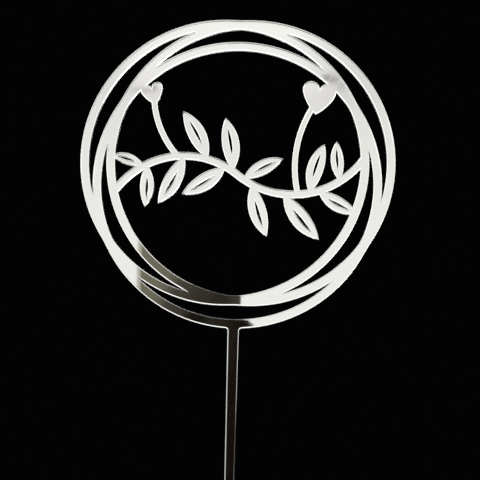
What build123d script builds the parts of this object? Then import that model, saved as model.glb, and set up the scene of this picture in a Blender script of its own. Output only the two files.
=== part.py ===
from build123d import *

import os
from math import acos, atan2, cos, degrees, radians, sin, sqrt

# A cake topper cut from one sheet of mirror acrylic: a wreath of three overlapping hoops round an
# open vine with two hearts, on a flat stick that is pushed into the cake.
# The sheet stands in the XZ plane, and its front faces -Y. Z = 0 is the top of the cake.
# The cut outline is drawn about the wreath's centre, with x to the right and y up.

# Sheet, from its front to its back
acrylic_thickness = 1.85
film_thickness = 0.05
lacquer_thickness = 0.1

# Wreath of equal hoops, spaced evenly about its centre
hoop_count = 3
first_hoop_angle = 30
hoop_diameter = 100.0
hoop_band = 3.0
hoop_offset = 5.2

# Blends where two hoops cross, of the hoops' outer and inner radius
outer_blend_share = 0.9
inner_blend_share = 0.4

# Stick, and how deep it goes into the cake
stick_length = 70.0
stick_root_width = 3.85
stick_end_width = 3.15
stick_point_length = 7.0
stick_tip_width = 1.2
stick_root_fillet = 1.0
stick_tip_fillet = 0.4
cake_depth = 45.0

# Vine: two bowed sprigs that grow from its middle out to the hoops, one up and one down
vine_width = 2.6
vine_middle_y = -2.0
vine_rise = 7.0
vine_bow = 9.5

# Leaves on the hollow and on the full side of each sprig's bow.
# A pair of shares is a place along the sprig and a length, of the longest leaf.
leaf_length = 20.0
leaf_width = 6.4
leaf_full_side_share = 0.6
hollow_side_rise = 62
full_side_rise = 46
left_hollow_side_shares = ((0.1, 0.9), (0.41, 0.95), (0.69, 0.75))
left_full_side_shares = ((0.04, 0.95), (0.24, 0.95), (0.71, 0.6))
right_hollow_side_shares = ((0.05, 0.78), (0.53, 0.9), (0.76, 0.7))
right_full_side_shares = ((0.12, 0.95), (0.35, 1.0), (0.59, 0.8))

# Slit along each leaf's vein
vein_width = 0.9
vein_start_share = 0.3
vein_end_share = 0.8

# Hearts: the tip's place, of the hoops' inner radius, and the lobes' radius and height, of the width.
# Each flank leaves its lobe this far below the widest place, and bows down to the tip.
left_heart_width = 7.8
left_heart_tip_shares = (-0.615, 0.469)
left_heart_lean = -17
right_heart_width = 11.7
right_heart_tip_shares = (0.566, 0.42)
right_heart_lean = 8
lobe_radius_share = 0.252
lobe_height_share = 0.72
flank_angle = 20

# Heart stems: where each leaves its sprig, its bow, and where it ends in its heart, of the width
heart_stem_width = 2.0
left_stem_share = 0.46
left_stem_bow = 2.2
left_stem_end_shares = (0.05, 0.5)
right_stem_share = 0.45
right_stem_bow = 3.5
right_stem_end_shares = (-0.05, 0.35)

# Worked out from the sizes above
hoop_radius = hoop_diameter / 2
hoop_inner_radius = hoop_radius - hoop_band
hoop_middle_radius = hoop_radius - hoop_band / 2
hoop_half_step = 180 / hoop_count
hoop_pair_offset = hoop_offset * cos(radians(hoop_half_step))
hoop_pair_spread = hoop_offset * sin(radians(hoop_half_step))
side_hoop_x = hoop_offset * cos(radians(first_hoop_angle))
side_hoop_y = hoop_offset * sin(radians(first_hoop_angle))
wreath_bottom_y = -hoop_radius - hoop_offset
wreath_height = stick_length - cake_depth - wreath_bottom_y
stick_tip_y = wreath_bottom_y - stick_length
sheet_thickness = acrylic_thickness + film_thickness + lacquer_thickness


def hoop_reach(y):
    """How far to either side the middle of the innermost band lies, at a height."""
    return sqrt(hoop_middle_radius**2 - (y - side_hoop_y) ** 2) - side_hoop_x


def blend_crossings(radius, blend_share):
    """Rounds the corners of the wreath where circles of this radius cross, for each pair of hoops."""
    reach = sqrt(radius**2 - hoop_pair_spread**2)
    for distance in (hoop_pair_offset + reach, hoop_pair_offset - reach):
        places = PolarLocations(distance, hoop_count, first_hoop_angle + hoop_half_step).locations
        corners = [wreath.vertices().sort_by_distance(place.position)[0] for place in places]
        fillet(corners, radius * blend_share)


def leaf(length, full_side):
    """A leaf from the origin along x, fuller on the side of y given by 1 or -1, slit along its vein."""
    width = full_side * leaf_width * length / leaf_length
    full_edge = width * leaf_full_side_share
    flat_edge = full_edge - width
    vein_bow = (full_edge + flat_edge) / 2
    vein_middle_share = (vein_start_share + vein_end_share) / 2

    def vein_point(share, shift):
        return (length * share, 4 * vein_bow * share * (1 - share) + shift)

    with BuildSketch() as blade:
        with BuildLine():
            for edge_y in (full_edge, flat_edge):
                ThreePointArc((0, 0), (length / 2, edge_y), (length, 0))
        make_face()
        with BuildLine():
            for shift in (vein_width / 2, -vein_width / 2):
                ThreePointArc(
                    vein_point(vein_start_share, 0),
                    vein_point(vein_middle_share, shift),
                    vein_point(vein_end_share, 0),
                )
        make_face(mode=Mode.SUBTRACT)
    return blade.sketch


def heart(width):
    """A heart on its tip at the origin: two round lobes, and flanks that bow down to the tip."""
    radius = width * lobe_radius_share
    lobe_x = width / 2 - radius
    lobe_y = width * lobe_height_share
    notch_angle = degrees(acos(-lobe_x / radius))
    with BuildSketch() as shape:
        with BuildLine():
            lobe = CenterArc((lobe_x, lobe_y), radius, -flank_angle, notch_angle + flank_angle)
            TangentArc(lobe @ 0, (0, 0), tangent=-(lobe % 0))
            mirror(about=Plane.YZ)
        make_face()
    return shape.sketch


def add_leaves(sprig, leaf_shares, side, rise):
    """Adds leaves along one side of a sprig: 1 is left of the way it grows, -1 is right."""
    for place_share, length_share in leaf_shares:
        growth = sprig % place_share
        angle = degrees(atan2(growth.Y, growth.X)) + side * rise
        with Locations(Location(sprig @ place_share, angle)):
            add(leaf(leaf_length * length_share, side))


def add_heart(width, tip_shares, lean, stem_start, stem_end_shares, stem_bow):
    """Adds a heart and the bowed stem that carries it, which ends inside the heart."""
    tip = Vector(*tip_shares) * hoop_inner_radius
    stem_end = tip + (Vector(*stem_end_shares) * width).rotate(Axis.Z, -lean)
    with BuildLine() as stem:
        SagittaArc(stem_start, stem_end, stem_bow)
    trace(stem.edges(), heart_stem_width)
    with Locations(Location(tip, -lean)):
        add(heart(width))


with BuildSketch() as hoop:
    Circle(hoop_radius)
    Circle(hoop_inner_radius, mode=Mode.SUBTRACT)

with BuildSketch() as wreath:
    with PolarLocations(hoop_offset, hoop_count, start_angle=first_hoop_angle):
        add(hoop.sketch)
    blend_crossings(hoop_radius, outer_blend_share)
    blend_crossings(hoop_inner_radius, inner_blend_share)

with BuildLine() as vine:
    vine_middle = (0, vine_middle_y)
    left_end_y = vine_middle_y - vine_rise
    right_end_y = vine_middle_y + vine_rise
    left_sprig = SagittaArc(vine_middle, (-hoop_reach(left_end_y), left_end_y), -vine_bow)
    right_sprig = TangentArc(vine_middle, (hoop_reach(right_end_y), right_end_y), tangent=-(left_sprig % 0))

with BuildSketch() as cut_outline:
    add(wreath.sketch)
    with BuildLine():
        stick_side = Polyline(
            (0, wreath_bottom_y + hoop_band / 2),
            (stick_root_width / 2, wreath_bottom_y + hoop_band / 2),
            (stick_end_width / 2, stick_tip_y + stick_point_length),
            (stick_tip_width / 2, stick_tip_y),
            (0, stick_tip_y),
        )
        mirror(stick_side, about=Plane.YZ)
    make_face()
    for root_x in (-stick_root_width / 2, stick_root_width / 2):
        fillet(cut_outline.vertices().sort_by_distance((root_x, wreath_bottom_y))[0], stick_root_fillet)
    fillet(cut_outline.vertices().group_by(Axis.Y)[0], stick_tip_fillet)
    trace(vine.edges(), vine_width)
    add_leaves(left_sprig, left_hollow_side_shares, 1, hollow_side_rise)
    add_leaves(left_sprig, left_full_side_shares, -1, full_side_rise)
    add_leaves(right_sprig, right_hollow_side_shares, 1, hollow_side_rise)
    add_leaves(right_sprig, right_full_side_shares, -1, full_side_rise)
    add_heart(
        left_heart_width, left_heart_tip_shares, left_heart_lean,
        left_sprig @ left_stem_share, left_stem_end_shares, left_stem_bow,
    )
    add_heart(
        right_heart_width, right_heart_tip_shares, right_heart_lean,
        right_sprig @ right_stem_share, right_stem_end_shares, right_stem_bow,
    )


def layer_plane(depth):
    """The plane this far behind the sheet's front, facing the front."""
    return Plane((0, depth - sheet_thickness / 2, wreath_height), x_dir=(1, 0, 0), z_dir=(0, -1, 0))


# Clear acrylic, through which the mirror is seen
with BuildPart() as acrylic_sheet:
    with BuildSketch(layer_plane(acrylic_thickness)):
        add(cut_outline.sketch)
    extrude(amount=acrylic_thickness)

# Aluminised film on the acrylic's back
with BuildPart() as mirror_film:
    with BuildSketch(layer_plane(acrylic_thickness + film_thickness)):
        add(cut_outline.sketch)
    extrude(amount=film_thickness)

# Lacquer that keeps the film from being scratched
with BuildPart() as back_lacquer:
    with BuildSketch(layer_plane(sheet_thickness)):
        add(cut_outline.sketch)
    extrude(amount=lacquer_thickness)

acrylic_sheet.part.label = "acrylic_sheet"
mirror_film.part.label = "mirror_film"
back_lacquer.part.label = "back_lacquer"

os.makedirs("parts", exist_ok=True)
export_step(acrylic_sheet.part, "parts/acrylic_sheet.step")
export_step(mirror_film.part, "parts/mirror_film.step")
export_step(back_lacquer.part, "parts/back_lacquer.step")
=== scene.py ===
from math import radians

import bpy
import numpy as np
from bpy.props import FloatProperty, FloatVectorProperty, IntProperty, PointerProperty
from bpy.types import Operator, Panel, PropertyGroup
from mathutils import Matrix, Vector


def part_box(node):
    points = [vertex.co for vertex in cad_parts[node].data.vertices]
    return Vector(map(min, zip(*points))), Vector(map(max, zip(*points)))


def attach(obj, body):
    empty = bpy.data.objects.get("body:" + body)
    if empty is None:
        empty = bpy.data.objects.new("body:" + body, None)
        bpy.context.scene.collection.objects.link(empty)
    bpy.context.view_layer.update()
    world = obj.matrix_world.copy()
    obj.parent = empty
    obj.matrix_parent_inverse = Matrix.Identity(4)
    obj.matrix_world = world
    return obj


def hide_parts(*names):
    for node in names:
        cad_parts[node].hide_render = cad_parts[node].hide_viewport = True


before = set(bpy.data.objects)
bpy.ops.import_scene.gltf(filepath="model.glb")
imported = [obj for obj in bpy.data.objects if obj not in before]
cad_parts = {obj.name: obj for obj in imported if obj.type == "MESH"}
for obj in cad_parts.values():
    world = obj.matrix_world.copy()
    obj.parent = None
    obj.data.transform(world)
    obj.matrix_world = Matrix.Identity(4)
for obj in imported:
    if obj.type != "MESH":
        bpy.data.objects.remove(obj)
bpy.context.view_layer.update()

bl_info = {
    "name": "Mirror acrylic cake topper",
    "version": (1, 0, 0),
    "blender": (4, 5, 0),
    "location": "3D View > Sidebar > Topper",
    "description": "Dresses the layers of a cake topper cut from mirror acrylic, and sets its stage",
    "category": "Object",
}

MM = 0.001

# The sheet's faces, from front to back, as the CAD layers have them
sheet_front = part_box("acrylic_sheet")[0].y
film_front, film_back = (corner.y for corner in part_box("mirror_film"))
sheet_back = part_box("back_lacquer")[1].y

# The topper's lowest point, where the floor lies
stick_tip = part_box("acrylic_sheet")[0].z


def linear(hex_colour):
    """The linear colour of an sRGB hex value, with full alpha, by the sRGB curve."""
    srgb = np.array([int(hex_colour[i : i + 2], 16) for i in (1, 3, 5)]) / 255
    rgb = np.where(srgb <= 0.04045, srgb / 12.92, ((srgb + 0.055) / 1.055) ** 2.4)
    return (*rgb.tolist(), 1.0)


def shade(colour, share):
    """A linear colour with this share of its light, and full alpha."""
    return (*(light * share for light in colour[:3]), 1.0)


class TopperCut(PropertyGroup):
    """Sizes of the edges that the laser's cut leaves"""

    lip_width: FloatProperty(
        name="Lip width", description="How far the melted lip reaches in from the cut edge",
        default=0.27 * MM, min=0.05 * MM, max=0.6 * MM, precision=5, unit="LENGTH", subtype="DISTANCE",
    )
    lip_depth: FloatProperty(
        name="Lip depth", description="How far the melted lip drops below the sheet's front",
        default=0.24 * MM, min=0.05 * MM, max=0.6 * MM, precision=5, unit="LENGTH", subtype="DISTANCE",
    )
    lip_round: FloatProperty(
        name="Lip roundness", description="1 is a straight bevel, and 2 is a quarter of an ellipse",
        default=1.3, min=1.0, max=2.0,
    )
    lip_steps: IntProperty(
        name="Lip steps", description="Flats that make up the lip's quarter round", default=5, min=2, max=12,
    )
    corner_limit: FloatProperty(
        name="Corner limit", description="Longest mitre at a sharp corner, in widths",
        default=2.0, min=1.0, max=4.0,
    )
    lacquer_round: FloatProperty(
        name="Lacquer rounding", description="Rounding of the lacquer's outer edge",
        default=0.06 * MM, min=0.01 * MM, max=0.09 * MM, precision=5, unit="LENGTH", subtype="DISTANCE",
    )
    heat_rim: FloatProperty(
        name="Heat rim", description="Width of the lacquer that the beam's heat has marked",
        default=0.55 * MM, min=0.1 * MM, max=1.0 * MM, precision=5, unit="LENGTH", subtype="DISTANCE",
    )


class TopperFinish(PropertyGroup):
    """Colours of the topper's layers"""

    acrylic_tint: FloatVectorProperty(
        name="Acrylic", description="Tint of the clear acrylic", size=4, default=linear("#FAFCFA"),
        min=0, max=1, subtype="COLOR",
    )
    cut_edge: FloatVectorProperty(
        name="Cut edge", description="Tint of the melted wall along the laser's cut", size=4,
        default=linear("#F2F5F3"), min=0, max=1, subtype="COLOR",
    )
    silver: FloatVectorProperty(
        name="Mirror", description="Silver of the aluminised film", size=4, default=linear("#F7F4F6"),
        min=0, max=1, subtype="COLOR",
    )
    lacquer: FloatVectorProperty(
        name="Lacquer", description="Grey of the back's lacquer", size=4, default=linear("#85888A"),
        min=0, max=1, subtype="COLOR",
    )


class TopperStage(PropertyGroup):
    """The camera, the light and the surroundings"""

    camera_place: FloatVectorProperty(
        name="Camera place", description="Where the camera stands", size=3,
        default=(13.57 * MM, -581.26 * MM, -14.44 * MM), unit="LENGTH", subtype="TRANSLATION",
    )
    camera_turn: FloatVectorProperty(
        name="Camera turn", description="How the camera is turned", size=3,
        default=(radians(96.861), radians(-1.489), radians(1.011)), unit="ROTATION", subtype="EULER",
    )
    lens: FloatProperty(
        name="Lens", description="Focal length on a 36 mm sensor", default=127.5, min=1.0, unit="CAMERA",
    )
    floor_colour: FloatVectorProperty(
        name="Floor", description="Pale paper of the floor", size=4, default=linear("#E9E7E3"),
        min=0, max=1, subtype="COLOR",
    )
    backdrop: FloatVectorProperty(
        name="Backdrop", description="Black behind the topper", size=4, default=linear("#030303"),
        min=0, max=1, subtype="COLOR",
    )
    ambient: FloatProperty(
        name="Room light", description="Soft light from all round", default=0.5, min=0.0,
    )
    card_rim: FloatProperty(
        name="Card rim", description="Brightness of the card round its middle", default=1.6, min=0.0,
    )
    panel: FloatProperty(
        name="Soft panel", description="Brightness of the soft panel overhead", default=1.5, min=0.0,
    )
    key_power: FloatProperty(
        name="Key lamp", description="Power of the soft lamp above", default=5.0, min=0.0, unit="POWER",
    )


# Sockets of a Mix node for colours, by number, because its sockets for other kinds share their names
MIX_FACTOR, MIX_A, MIX_B, MIX_RESULT = 0, 6, 7, 2


def add_node(tree, kind, inputs=(), stops=(), **settings):
    """Adds a node: inputs gives its sockets a value or a link, stops gives a ramp its places and
    colours, and settings are the node's own options."""
    node = tree.nodes.new(kind)
    for name, value in settings.items():
        setattr(node, name, value)
    for socket, value in dict(inputs).items():
        if isinstance(value, bpy.types.NodeSocket):
            tree.links.new(value, node.inputs[socket])
        else:
            node.inputs[socket].default_value = value
    if stops:
        ramp = node.color_ramp.elements
        ramp.remove(ramp[1])
        ramp[0].position, ramp[0].color = stops[0]
        for place, colour in stops[1:]:
            ramp.new(place).color = colour
    return node


def new_material(name):
    """An empty node material: the material, its tree and its surface socket."""
    material = bpy.data.materials.new(name)
    material.use_nodes = True
    tree = material.node_tree
    tree.nodes.clear()
    return material, tree, add_node(tree, "ShaderNodeOutputMaterial").inputs["Surface"]


ACRYLIC_IOR = 1.49
LACQUER_IOR = 1.5


def polished_acrylic(finish):
    # Cast clear acrylic with the sheet's own polish: it all but vanishes over the mirror, and is seen
    # by a thin gloss, the dull patches of a wiped face and a few hairline scratches.
    material, tree, surface = new_material("clear cast acrylic, polished")
    wipe_width = 13 * MM
    # Scratches are a tenth as wide on the real sheet
    scratch_length, scratch_width, scratch_slant = 22 * MM, 0.3 * MM, radians(28)
    place = add_node(tree, "ShaderNodeTexCoord").outputs["Object"]
    wiped = add_node(tree, "ShaderNodeTexNoise", {"Vector": place, "Scale": 1 / wipe_width, "Detail": 4.0})
    wiped = add_node(
        tree, "ShaderNodeMapRange",
        {"Value": wiped.outputs["Fac"], "From Min": 0.45, "From Max": 0.8, "To Max": 0.05},
    )
    along = add_node(
        tree, "ShaderNodeMapping",
        {
            "Vector": place, "Rotation": (0, scratch_slant, 0),
            "Scale": (1 / scratch_length, 1, 1 / scratch_width),
        },
    )
    lines = add_node(tree, "ShaderNodeTexNoise", {"Vector": along.outputs[0], "Scale": 1.0, "Detail": 1.0})
    scratches = add_node(
        tree, "ShaderNodeMapRange",
        {"Value": lines.outputs["Fac"], "From Min": 0.7, "From Max": 0.78, "To Min": 0.02, "To Max": 0.09},
    )
    dull = add_node(
        tree, "ShaderNodeMath", {0: wiped.outputs["Result"], 1: scratches.outputs["Result"]}, operation="ADD"
    )
    shader = add_node(
        tree, "ShaderNodeBsdfPrincipled",
        {
            "Base Color": finish.acrylic_tint, "Roughness": dull.outputs[0], "IOR": ACRYLIC_IOR,
            "Transmission Weight": 1.0,
        },
    )
    tree.links.new(shader.outputs[0], surface)
    return material


def cut_edge_acrylic(finish):
    # Acrylic cut by a laser: the beam melts the wall nearly clear, with fine lines across its thickness
    # and a little frost, so that the edge carries light and shows as a bright line.
    material, tree, surface = new_material("clear acrylic, laser-cut edge")
    # The beam's lines are 0.1 to 0.2 mm apart, and are drawn at 0.5 mm so that they show
    line_spacing, line_length, ridge_height = 0.5 * MM, 6 * MM, 0.03 * MM
    place = add_node(tree, "ShaderNodeTexCoord").outputs["Object"]
    across = add_node(
        tree, "ShaderNodeMapping",
        {"Vector": place, "Scale": (1 / line_spacing, 1 / line_length, 1 / line_spacing)},
    )
    lines = add_node(tree, "ShaderNodeTexNoise", {"Vector": across.outputs[0], "Scale": 1.0, "Detail": 2.0})
    frost = add_node(
        tree, "ShaderNodeMix",
        {MIX_FACTOR: lines.outputs["Fac"], MIX_A: shade(finish.cut_edge, 0.78), MIX_B: finish.cut_edge},
        data_type="RGBA",
    )
    dull = add_node(
        tree, "ShaderNodeMapRange", {"Value": lines.outputs["Fac"], "To Min": 0.03, "To Max": 0.12}
    )
    ridges = add_node(
        tree, "ShaderNodeBump", {"Height": lines.outputs["Fac"], "Strength": 0.4, "Distance": ridge_height}
    )
    shader = add_node(
        tree, "ShaderNodeBsdfPrincipled",
        {
            "Base Color": frost.outputs[MIX_RESULT], "Roughness": dull.outputs["Result"],
            "IOR": ACRYLIC_IOR, "Transmission Weight": 0.85, "Normal": ridges.outputs[0],
        },
    )
    tree.links.new(shader.outputs[0], surface)
    return material


def aluminised_film(finish):
    # Aluminium laid on the acrylic's back in a vacuum: a clear mirror, whose picture bends a little
    # with the long waves of the sheet.
    material, tree, surface = new_material("aluminium, vacuum-coated mirror")
    wave_length, wave_height, haze_width = 35 * MM, 0.06 * MM, 8 * MM
    place = add_node(tree, "ShaderNodeTexCoord").outputs["Object"]
    waves = add_node(tree, "ShaderNodeTexNoise", {"Vector": place, "Scale": 1 / wave_length, "Detail": 1.0})
    bent = add_node(
        tree, "ShaderNodeBump", {"Height": waves.outputs["Fac"], "Strength": 1.0, "Distance": wave_height}
    )
    haze = add_node(tree, "ShaderNodeTexNoise", {"Vector": place, "Scale": 1 / haze_width, "Detail": 3.0})
    haze = add_node(
        tree, "ShaderNodeMapRange", {"Value": haze.outputs["Fac"], "To Min": 0.01, "To Max": 0.035}
    )
    shader = add_node(
        tree, "ShaderNodeBsdfPrincipled",
        {
            "Base Color": finish.silver, "Metallic": 1.0, "Roughness": haze.outputs["Result"],
            "Normal": bent.outputs[0],
        },
    )
    tree.links.new(shader.outputs[0], surface)
    return material


def sprayed_lacquer(finish):
    # Grey lacquer sprayed over the mirror: matt, with orange peel, the grain of dry spray, and a paler
    # rim where the beam's heat has dulled it along the cut.
    material, tree, surface = new_material("grey lacquer, sprayed")
    cloud_width, peel_width, peel_height = 18 * MM, 1.4 * MM, 0.05 * MM
    # Specks of dry spray are 0.1 to 0.2 mm wide, and are drawn at 0.45 mm so that they show
    grain_width = 0.45 * MM
    place = add_node(tree, "ShaderNodeTexCoord").outputs["Object"]
    cloud = add_node(tree, "ShaderNodeTexNoise", {"Vector": place, "Scale": 1 / cloud_width, "Detail": 3.0})
    grain = add_node(tree, "ShaderNodeTexNoise", {"Vector": place, "Scale": 1 / grain_width, "Detail": 2.0})
    peel = add_node(tree, "ShaderNodeTexNoise", {"Vector": place, "Scale": 1 / peel_width, "Detail": 1.0})
    coat = add_node(
        tree, "ShaderNodeMix",
        {
            MIX_FACTOR: cloud.outputs["Fac"],
            MIX_A: shade(finish.lacquer, 0.84), MIX_B: shade(finish.lacquer, 1.14),
        },
        data_type="RGBA",
    )
    speck = add_node(
        tree, "ShaderNodeMapRange",
        {"Value": grain.outputs["Fac"], "From Min": 0.58, "From Max": 0.72, "To Max": 0.3},
    )
    coat = add_node(
        tree, "ShaderNodeMix",
        {
            MIX_FACTOR: speck.outputs["Result"],
            MIX_A: coat.outputs[MIX_RESULT], MIX_B: shade(finish.lacquer, 1.5),
        },
        data_type="RGBA",
    )
    rim = add_node(tree, "ShaderNodeAttribute", attribute_name="heat_rim")
    ragged = add_node(
        tree, "ShaderNodeMath", {0: rim.outputs["Fac"], 1: peel.outputs["Fac"]}, operation="MULTIPLY"
    )
    coat = add_node(
        tree, "ShaderNodeMix",
        {MIX_FACTOR: ragged.outputs[0], MIX_A: coat.outputs[MIX_RESULT], MIX_B: linear("#C9C8C4")},
        data_type="RGBA",
    )
    dull = add_node(
        tree, "ShaderNodeMapRange", {"Value": grain.outputs["Fac"], "To Min": 0.42, "To Max": 0.62}
    )
    bumps = add_node(
        tree, "ShaderNodeBump", {"Height": peel.outputs["Fac"], "Strength": 0.5, "Distance": peel_height}
    )
    shader = add_node(
        tree, "ShaderNodeBsdfPrincipled",
        {
            "Base Color": coat.outputs[MIX_RESULT], "Roughness": dull.outputs["Result"],
            "IOR": LACQUER_IOR, "Normal": bumps.outputs[0],
        },
    )
    tree.links.new(shader.outputs[0], surface)
    return material


# Points that agree to this many decimals of a metre are one
MERGE_DECIMALS = 6

# Least divisor of a mitre, met where the outline turns back on itself
LEAST_DIVISOR = 0.02

# Edges that bend by more than this are shaded sharp
SHARP_ANGLE = radians(35)


def cut_outline(node, corner_limit):
    """The outline of a node's flat front, seen from the front with x to the right and z up.

    Gives the outline's points, the triangles across the front, the point that comes next along the
    outline, with the material on its left, and each point's mitre: the sum of the inward normals of
    the two edges that meet there, over one plus their dot product, and no longer than the limit.
    """
    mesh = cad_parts[node].data
    places = np.empty(len(mesh.vertices) * 3, np.float32)
    mesh.vertices.foreach_get("co", places)
    corners = np.empty(len(mesh.loops), np.int32)
    mesh.loops.foreach_get("vertex_index", corners)
    places = np.round(places.reshape(-1, 3).astype(float), MERGE_DECIMALS)
    places, merged = np.unique(places, axis=0, return_inverse=True)
    triangles = merged.ravel()[corners].reshape(-1, 3)
    at_front = np.isclose(places[:, 1], places[:, 1].min(), atol=10**-MERGE_DECIMALS)
    used, front = np.unique(triangles[at_front[triangles].all(1)], return_inverse=True)
    front = front.reshape(-1, 3)
    outline = places[used][:, [0, 2]]

    # A side that no other triangle has the other way round is on the outline
    sides = np.concatenate([front[:, [0, 1]], front[:, [1, 2]], front[:, [2, 0]]])
    count = len(used)
    rim = sides[~np.isin(sides @ (count, 1), sides @ (1, count))]
    if len(rim) != count:
        raise RuntimeError(f"the front of {node} has points off its outline")
    ahead, behind = np.empty((2, count), int)
    ahead[rim[:, 0]] = rim[:, 1]
    behind[rim[:, 1]] = rim[:, 0]

    step = outline[ahead] - outline
    step /= np.linalg.norm(step, axis=1, keepdims=True)
    inward = step[:, ::-1] * (-1, 1)
    together = inward + inward[behind]
    mitre = together / np.maximum((inward * inward[behind]).sum(1, keepdims=True) + 1, LEAST_DIVISOR)
    mitre *= np.minimum(1, corner_limit / np.linalg.norm(mitre, axis=1, keepdims=True))
    return outline, front, ahead, mitre


def carry_profile(name, node, insets, depths, corner_limit, materials, row_materials):
    """A closed sheet: a profile carried along a node's cut outline, and closed front and back.

    Row k of the profile is the outline moved in by insets[k] along its mitres, at y = depths[k]. Each
    row is joined to the next one, and the triangles of the node's front close the first and last row.
    """
    outline, front, ahead, mitre = cut_outline(node, corner_limit)
    rows, count = len(insets), len(outline)
    flat = outline + np.array(insets)[:, None, None] * mitre
    places = np.empty((rows, count, 3))
    places[..., [0, 2]] = flat
    places[..., 1] = np.array(depths)[:, None]

    here = np.arange(count)
    row = np.arange(rows - 1)[:, None] * count
    bands = np.stack([row + here, row + count + here, row + count + ahead, row + ahead], 2).reshape(-1, 4)
    caps = np.concatenate([front, front[:, ::-1] + (rows - 1) * count])

    mesh = bpy.data.meshes.new(name)
    mesh.from_pydata(places.reshape(-1, 3).tolist(), [], bands.tolist() + caps.tolist())
    for material in materials:
        mesh.materials.append(material)
    by_face = np.concatenate([np.repeat(row_materials, count), np.zeros(len(caps), int)]).astype(np.int32)
    mesh.polygons.foreach_set("material_index", by_face)
    mesh.polygons.foreach_set("use_smooth", np.ones(len(by_face), bool))
    mesh.set_sharp_from_angle(angle=SHARP_ANGLE)
    if mesh.validate():
        raise RuntimeError(f"{name} has broken faces")
    piece = bpy.data.objects.new(name, mesh)
    bpy.context.scene.collection.objects.link(piece)
    return piece


# Where the acrylic's flat face begins, in lip widths
FACE_MARGIN = 1.3

# How far the acrylic's wall reaches into the film, of the film's thickness
WALL_OVERLAP = 0.4

# Flats that make up the rounding of the lacquer's edge
LACQUER_STEPS = 3


class TOPPER_OT_clear_sheet(Operator):
    """Builds the clear acrylic with the melted lip that the laser leaves along its front edges"""

    bl_idname = "topper.clear_sheet"
    bl_label = "Clear acrylic sheet"

    def execute(self, context):
        cut, finish = context.scene.topper_cut, context.scene.topper_finish
        # A quarter of a superellipse, (1 - inset / width)**n + (1 - drop / depth)**n = 1, with a flat
        # margin before it that keeps the face's shading flat. The wall runs on a little behind the
        # film's front, so that no two faces lie in one plane.
        turn = np.radians(np.linspace(0, 90, cut.lip_steps + 1))
        lip_insets = cut.lip_width * (1 - np.sin(turn) ** (2 / cut.lip_round))
        lip_drops = cut.lip_depth * (1 - np.abs(np.cos(turn)) ** (2 / cut.lip_round))
        wall_end = film_front + WALL_OVERLAP * (film_back - film_front)
        insets = [cut.lip_width * FACE_MARGIN, *lip_insets, 0]
        depths = [sheet_front, *sheet_front + lip_drops, wall_end]
        piece = carry_profile(
            "clear_sheet", "acrylic_sheet", insets, depths, cut.corner_limit,
            [polished_acrylic(finish), cut_edge_acrylic(finish)], [0] * (len(insets) - 2) + [1],
        )
        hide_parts("acrylic_sheet")
        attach(piece, "root")
        return {"FINISHED"}


class TOPPER_OT_mirror(Operator):
    """Gives the mirror film its silver"""

    bl_idname = "topper.mirror"
    bl_label = "Mirror film"

    def execute(self, context):
        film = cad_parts["mirror_film"].material_slots[0]
        film.link = "OBJECT"
        film.material = aluminised_film(context.scene.topper_finish)
        return {"FINISHED"}


class TOPPER_OT_lacquer(Operator):
    """Builds the back's lacquer with its soft outer edge and the rim that the cut has heated"""

    bl_idname = "topper.lacquer"
    bl_label = "Back lacquer"

    def execute(self, context):
        cut, finish = context.scene.topper_cut, context.scene.topper_finish
        # A quarter circle, and then a flat rim as wide as the heat reaches
        turn = np.radians(np.linspace(0, 90, LACQUER_STEPS + 1))
        insets = [0, *cut.lacquer_round * (1 - np.cos(turn)), cut.heat_rim]
        rounding = sheet_back - cut.lacquer_round * (1 - np.sin(turn))
        depths = [film_back, *rounding, sheet_back]
        piece = carry_profile(
            "grey_back", "back_lacquer", insets, depths, cut.corner_limit,
            [sprayed_lacquer(finish)], [0] * (len(insets) - 1),
        )
        # The heat's mark is full along the edge, and gone at the rim's inner side
        heat = np.ones((len(insets), len(piece.data.vertices) // len(insets)), np.float32)
        heat[-1] = 0
        piece.data.attributes.new("heat_rim", "FLOAT", "POINT").data.foreach_set("value", heat.ravel())
        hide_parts("back_lacquer")
        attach(piece, "root")
        return {"FINISHED"}


# All lengths of the stage are in millimetres, and a side is given by its distance from the middle
FLOOR_SIDE, FLOOR_FRONT, FLOOR_BACK = 900, -900, 640

# The card stands before the topper, and the soft panel runs from its top to over the topper
CARD_SIDE, CARD_Y, CARD_BOTTOM, CARD_TOP = 600, -1000, -200, 700
PANEL_BACK = 0

# The dark flag's outline, as pairs of x and z
FLAG_Y = -150
FLAG_OUTLINE = (
    (-46.8, -44), (5.0, -44), (5.0, 36.8), (1.9, 39.1), (-0.7, 44),
    (-0.7, 51), (-20, 56), (-30, 61), (-40, 69), (-46.8, 77.5),
)

# The side flag stands square to the mirror, and the low flag fills in between it and the dark flag
SIDE_FLAG_X, SIDE_FLAG_FRONT, SIDE_FLAG_BACK, SIDE_FLAG_TOP = -120, -220, -40, 45
LOW_FLAG_X, LOW_FLAG_LEFT_TOP, LOW_FLAG_RIGHT_TOP = -47, 40, -6

# The key lamp's place, what it is turned to, and its width
KEY_PLACE, KEY_TARGET, KEY_WIDTH = Vector((-480, -420, 720)), Vector((0, 0, 60)), 600

# The camera's sensor, and how near and how far it sees
SENSOR_WIDTH, CLIP_START, CLIP_END = 36, 10, 10000

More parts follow.
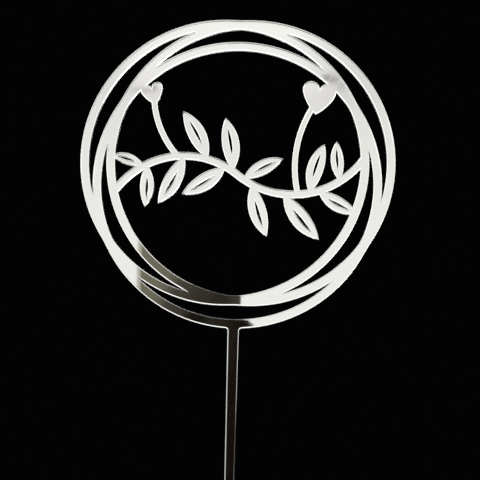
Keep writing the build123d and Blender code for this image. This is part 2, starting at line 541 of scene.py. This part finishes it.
# Painted shadows and glows, in ovals on the card and on the flag: x and z of the middle, half the width and
# height, and a shadow's depth, which is below 0 for a painted glow
CARD_MIDDLE = (-23, 100, 195, 345)
CARD_SHADOWS = (
    (330, 0, 240, 110, 0.65), (-370, 30, 220, 80, 0.5), (88, 340, 50, 32, 0.16), (52, 366, 26, 13, 0.07),
    (-145, 328, 24, 22, 0.09), (-117, 314.6, 17, 2.2, 0.4), (-105, 318, 4, 3, 0.75),
    (58, 333, 4.5, 3.2, 1.0), (65, 330.6, 5, 3, 1.0), (73, 324.5, 5, 5, 0.4),
)
FLAG_SHADOWS = ((-19.7, 39.3, 6.5, 3.5, 0.7), (0.5, 37, 6, 3, 0.4), (-0.7, 47.5, 6, 4, -1.7))

# A shadow is darkest within the first and gone beyond the second, and the card's rim is at its brightest
# beyond the third, each in sizes of its oval
SHADOW_CORE, SHADOW_REACH, RIM_REACH = 0.3, 1.3, 1.35

# Painted light and shade up the card, as tones at shares of the way from its lower to its upper height
CARD_LOW, CARD_HIGH = 150, 450
CARD_TONES = (
    (0.12, "#F7F9F4"), (0.37, "#F1F2ED"), (0.545, "#EAE9E5"), (0.575, "#F4F3EF"), (0.75, "#FFFFFA"),
)

# Tones of the dark flag: painted light at shares of the way along which the light leaves it, and tones across
# its soft left side
GRAZE_WAY, GRAZE_START, GRAZE_END = (1, 0, -0.56), -84.4, -7.6
GRAZE_TONES = (
    (0.0, "#74725F"), (0.267, "#6D6B5B"), (0.345, "#454239"), (0.5, "#36322B"), (0.7, "#24211A"),
    (1.0, "#150E0B"),
)
LEFT_START, LEFT_END = -46.5, -43.8
LEFT_TONES = ((0.0, "#F6F7F2"), (0.4, "#B9B8AC"), (0.72, "#B3B2A5"))
LEFT_LAST_TONE = "#8A8878"

# The flag's soft right side runs into one tone, up to a share of it
RIGHT_START, RIGHT_END, RIGHT_SHARE = 2.4, 5.0, 0.9
RIGHT_TONE = "#94928C"


def pale_paper(stage):
    # Uncoated paper: a pale, matt sheet with a faint mottle of fibres.
    material, tree, surface = new_material("pale paper, uncoated")
    mottle_width = 2 * MM
    place = add_node(tree, "ShaderNodeTexCoord").outputs["Object"]
    fibre = add_node(tree, "ShaderNodeTexNoise", {"Vector": place, "Scale": 1 / mottle_width, "Detail": 3.0})
    paper = add_node(
        tree, "ShaderNodeMix",
        {
            MIX_FACTOR: fibre.outputs["Fac"],
            MIX_A: shade(stage.floor_colour, 0.97), MIX_B: shade(stage.floor_colour, 1.03),
        },
        data_type="RGBA",
    )
    shader = add_node(
        tree, "ShaderNodeBsdfPrincipled", {"Base Color": paper.outputs[MIX_RESULT], "Roughness": 0.85}
    )
    tree.links.new(shader.outputs[0], surface)
    return material


def reach_from(tree, place, x, z, half_width, half_height):
    """A socket with a point's distance from x and z, counted in half widths and half heights."""
    spot = add_node(
        tree, "ShaderNodeMapping",
        {
            "Vector": place, "Location": (-x / half_width, 0, -z / half_height),
            "Scale": (1 / (half_width * MM), 0, 1 / (half_height * MM)),
        },
    )
    return add_node(tree, "ShaderNodeVectorMath", {0: spot.outputs[0]}, operation="LENGTH").outputs["Value"]


def cast_shadows(tree, place, tone, shadows):
    """The tone's socket after soft oval shadows, each a product with the light that it leaves."""
    for *oval, depth in shadows:
        light = add_node(
            tree, "ShaderNodeMapRange",
            {
                "Value": reach_from(tree, place, *oval), "From Min": SHADOW_CORE, "From Max": SHADOW_REACH,
                "To Min": 1 - depth,
            },
            interpolation_type="SMOOTHSTEP",
        )
        tone = add_node(
            tree, "ShaderNodeVectorMath", {0: tone, 1: light.outputs["Result"]}, operation="MULTIPLY"
        ).outputs["Vector"]
    return tone


def card_with_painted_light(stage):
    # White card that glows as a lamp, with painted light and shade: near white, painted dimmer across its
    # middle, with painted soft oval shadows, and painted brighter round the part that the flat mirror shows,
    # so that the lips shine.
    material, tree, surface = new_material("white card, glowing, with painted shade")
    place = add_node(tree, "ShaderNodeTexCoord").outputs["Object"]
    height = add_node(tree, "ShaderNodeSeparateXYZ", {0: place}).outputs["Z"]
    height = add_node(
        tree, "ShaderNodeMapRange",
        {"Value": height, "From Min": CARD_LOW * MM, "From Max": CARD_HIGH * MM},
    )
    tone = add_node(
        tree, "ShaderNodeValToRGB", {0: height.outputs["Result"]},
        stops=[(share, linear(colour)) for share, colour in CARD_TONES],
    )
    # Painted soft shadows, in ovals on the card
    tone = cast_shadows(tree, place, tone.outputs[0], CARD_SHADOWS)
    # Painted light: the card glows brighter round its middle
    rim = add_node(
        tree, "ShaderNodeMapRange",
        {
            "Value": reach_from(tree, place, *CARD_MIDDLE), "From Min": 1.0, "From Max": RIM_REACH,
            "To Min": 1.0, "To Max": stage.card_rim,
        },
    )
    glow = add_node(tree, "ShaderNodeEmission", {"Color": tone, "Strength": rim.outputs["Result"]})
    tree.links.new(glow.outputs[0], surface)
    return material


def soft_panel(stage):
    # White cloth over lamps: even light, which the rounded lips of the lower edges show.
    material, tree, surface = new_material("white cloth, lit from behind")
    glow = add_node(tree, "ShaderNodeEmission", {"Color": linear("#FFFFFF"), "Strength": stage.panel})
    tree.links.new(glow.outputs[0], surface)
    return material


def grazed_cloth():
    # Black cloth that glows with painted light, as if stray light grazed it from the upper left: olive grey
    # there, with a painted dark patch, a painted shadow and a painted glow, nearly black to the lower right,
    # and soft towards both of its sides, because it hangs out of focus.
    material, tree, surface = new_material("black cloth, with painted grazing light")
    place = add_node(tree, "ShaderNodeTexCoord").outputs["Object"]
    along = add_node(
        tree, "ShaderNodeVectorMath", {0: place, 1: GRAZE_WAY}, operation="DOT_PRODUCT"
    ).outputs["Value"]
    along = add_node(
        tree, "ShaderNodeMapRange",
        {"Value": along, "From Min": GRAZE_START * MM, "From Max": GRAZE_END * MM},
    )
    cloth = add_node(
        tree, "ShaderNodeValToRGB", {0: along.outputs["Result"]},
        stops=[(share, linear(colour)) for share, colour in GRAZE_TONES],
    )
    # Painted shadows and a painted glow, in ovals on the cloth
    cloth = cast_shadows(tree, place, cloth.outputs[0], FLAG_SHADOWS)
    across = add_node(tree, "ShaderNodeSeparateXYZ", {0: place}).outputs["X"]
    left = add_node(
        tree, "ShaderNodeMapRange",
        {"Value": across, "From Min": LEFT_START * MM, "From Max": LEFT_END * MM},
    )
    # The last tone is clear, so that the left side runs out into the cloth
    left = add_node(
        tree, "ShaderNodeValToRGB", {0: left.outputs["Result"]},
        stops=[
            *((share, linear(colour)) for share, colour in LEFT_TONES),
            (1.0, (*linear(LEFT_LAST_TONE)[:3], 0.0)),
        ],
    )
    right = add_node(
        tree, "ShaderNodeMapRange",
        {
            "Value": across, "From Min": RIGHT_START * MM, "From Max": RIGHT_END * MM,
            "To Max": RIGHT_SHARE,
        },
    )
    cloth = add_node(
        tree, "ShaderNodeMix", {MIX_FACTOR: left.outputs["Alpha"], MIX_A: cloth, MIX_B: left.outputs[0]},
        data_type="RGBA",
    )
    cloth = add_node(
        tree, "ShaderNodeMix",
        {
            MIX_FACTOR: right.outputs["Result"], MIX_A: cloth.outputs[MIX_RESULT],
            MIX_B: linear(RIGHT_TONE),
        },
        data_type="RGBA",
    )
    glow = add_node(tree, "ShaderNodeEmission", {"Color": cloth.outputs[MIX_RESULT], "Strength": 1.0})
    tree.links.new(glow.outputs[0], surface)
    return material


def black_cloth():
    # Black cloth out of the light: nearly black, with a little of the room on its weave.
    material, tree, surface = new_material("black cloth, unlit")
    glow = add_node(tree, "ShaderNodeEmission", {"Color": linear("#15130F"), "Strength": 1.0})
    tree.links.new(glow.outputs[0], surface)
    return material


def stage_panel(name, corners, material):
    """A flat stage panel through its corners, in millimetres."""
    mesh = bpy.data.meshes.new(name)
    mesh.from_pydata((np.array(corners, float) * MM).tolist(), [], [range(len(corners))])
    mesh.materials.append(material)
    panel = bpy.data.objects.new(name, mesh)
    bpy.context.scene.collection.objects.link(panel)
    return panel


def set_up_panels(stage):
    """Lays the floor, and puts up the card, the panel and the flags that the mirror shows."""
    floor_z = stick_tip / MM
    stage_panel(
        "floor",
        [
            (-FLOOR_SIDE, FLOOR_FRONT, floor_z), (FLOOR_SIDE, FLOOR_FRONT, floor_z),
            (FLOOR_SIDE, FLOOR_BACK, floor_z), (-FLOOR_SIDE, FLOOR_BACK, floor_z),
        ],
        pale_paper(stage),
    )
    card = stage_panel(
        "white_card",
        [
            (-CARD_SIDE, CARD_Y, CARD_BOTTOM), (CARD_SIDE, CARD_Y, CARD_BOTTOM),
            (CARD_SIDE, CARD_Y, CARD_TOP), (-CARD_SIDE, CARD_Y, CARD_TOP),
        ],
        card_with_painted_light(stage),
    )
    overhead = stage_panel(
        "soft_panel",
        [
            (-CARD_SIDE, CARD_Y, CARD_TOP), (CARD_SIDE, CARD_Y, CARD_TOP),
            (CARD_SIDE, PANEL_BACK, CARD_TOP), (-CARD_SIDE, PANEL_BACK, CARD_TOP),
        ],
        soft_panel(stage),
    )
    # The dark flag takes the light off the stick and the lower left of the wreath
    flag = stage_panel("dark_flag", [(x, FLAG_Y, z) for x, z in FLAG_OUTLINE], grazed_cloth())
    # These keep the pale floor off the mirror seen from the right, and off the dark bands' upper lips
    unlit = black_cloth()
    side_flag = stage_panel(
        "side_flag",
        [
            (SIDE_FLAG_X, SIDE_FLAG_BACK, floor_z), (SIDE_FLAG_X, SIDE_FLAG_FRONT, floor_z),
            (SIDE_FLAG_X, SIDE_FLAG_FRONT, SIDE_FLAG_TOP), (SIDE_FLAG_X, SIDE_FLAG_BACK, SIDE_FLAG_TOP),
        ],
        unlit,
    )
    low_flag = stage_panel(
        "low_flag",
        [
            (SIDE_FLAG_X, FLAG_Y, floor_z), (LOW_FLAG_X, FLAG_Y, floor_z),
            (LOW_FLAG_X, FLAG_Y, LOW_FLAG_RIGHT_TOP), (SIDE_FLAG_X, FLAG_Y, LOW_FLAG_LEFT_TOP),
        ],
        unlit,
    )
    # They show only in the topper, and all but the card leave the light on matt surfaces as it is
    for panel in (card, overhead, flag, side_flag, low_flag):
        panel.visible_camera = False
    for panel in (overhead, flag, side_flag, low_flag):
        panel.visible_diffuse = False
        panel.visible_shadow = False


def key_lamp(stage):
    """A soft round lamp at the upper left, turned to the topper."""
    lamp = bpy.data.lights.new("key_lamp", "AREA")
    lamp.shape = "DISK"
    lamp.size = KEY_WIDTH * MM
    lamp.energy = stage.key_power
    key = bpy.data.objects.new("key_lamp", lamp)
    key.location = KEY_PLACE * MM
    key.rotation_euler = (KEY_TARGET * MM - key.location).to_track_quat("-Z", "Y").to_euler()
    key.visible_camera = False
    return key


def backdrop_world(stage):
    """A world that is black to the camera, in gloss and through acrylic, and a pale room to matt surfaces."""
    world = bpy.data.worlds.new("black backdrop, pale room")
    world.use_nodes = True
    tree = world.node_tree
    tree.nodes.clear()
    rays = add_node(tree, "ShaderNodeLightPath").outputs
    seen = add_node(
        tree, "ShaderNodeMath", {0: rays["Is Camera Ray"], 1: rays["Is Glossy Ray"]}, operation="MAXIMUM"
    )
    seen = add_node(
        tree, "ShaderNodeMath", {0: seen.outputs[0], 1: rays["Is Transmission Ray"]}, operation="MAXIMUM"
    )
    seen = add_node(
        tree, "ShaderNodeMath", {0: seen.outputs[0], 1: rays["Diffuse Depth"]},
        operation="SUBTRACT", use_clamp=True,
    )
    room = add_node(
        tree, "ShaderNodeBackground", {"Color": linear("#FFFFFF"), "Strength": stage.ambient}
    )
    black = add_node(tree, "ShaderNodeBackground", {"Color": stage.backdrop, "Strength": 1.0})
    both = add_node(
        tree, "ShaderNodeMixShader", {0: seen.outputs[0], 1: room.outputs[0], 2: black.outputs[0]}
    )
    add_node(tree, "ShaderNodeOutputWorld", {"Surface": both.outputs[0]})
    return world


def front_camera(stage):
    """A camera before the topper's mirror."""
    camera = bpy.data.objects.new("camera", bpy.data.cameras.new("camera"))
    camera.data.lens = stage.lens
    camera.data.sensor_width = SENSOR_WIDTH
    camera.data.clip_start = CLIP_START * MM
    camera.data.clip_end = CLIP_END * MM
    camera.location = stage.camera_place
    camera.rotation_euler = stage.camera_turn
    return camera


class TOPPER_OT_stage(Operator):
    """Sets the floor, the card, panel and flags that the mirror shows, the light and the camera"""

    bl_idname = "topper.stage"
    bl_label = "Stage and camera"

    def execute(self, context):
        scene, stage = context.scene, context.scene.topper_stage
        set_up_panels(stage)
        scene.collection.objects.link(key_lamp(stage))
        scene.world = backdrop_world(stage)
        camera = front_camera(stage)
        scene.collection.objects.link(camera)
        scene.camera = camera
        scene.view_settings.view_transform = "Standard"
        return {"FINISHED"}


class TOPPER_PT_sidebar(Panel):
    """Lists the topper's sizes, colours and operators"""

    bl_label = "Cake topper"
    bl_idname = "TOPPER_PT_sidebar"
    bl_space_type = "VIEW_3D"
    bl_region_type = "UI"
    bl_category = "Topper"

    def draw(self, context):
        for group in (context.scene.topper_cut, context.scene.topper_finish, context.scene.topper_stage):
            box = self.layout.box()
            for name in group.bl_rna.properties.keys():
                if name not in ("rna_type", "name"):
                    box.prop(group, name)
        for operator in OPERATORS:
            self.layout.operator(operator.bl_idname)


GROUPS = {"topper_cut": TopperCut, "topper_finish": TopperFinish, "topper_stage": TopperStage}
OPERATORS = (TOPPER_OT_clear_sheet, TOPPER_OT_mirror, TOPPER_OT_lacquer, TOPPER_OT_stage)


def register():
    for new_class in (*GROUPS.values(), *OPERATORS, TOPPER_PT_sidebar):
        bpy.utils.register_class(new_class)
    for name, group in GROUPS.items():
        setattr(bpy.types.Scene, name, PointerProperty(type=group))


def unregister():
    for name in GROUPS:
        delattr(bpy.types.Scene, name)
    for old_class in (TOPPER_PT_sidebar, *reversed(OPERATORS), *reversed(GROUPS.values())):
        bpy.utils.unregister_class(old_class)


def main():
    register()
    bpy.ops.topper.clear_sheet()
    bpy.ops.topper.mirror()
    bpy.ops.topper.lacquer()
    bpy.ops.topper.stage()


if __name__ == "__main__":
    main()
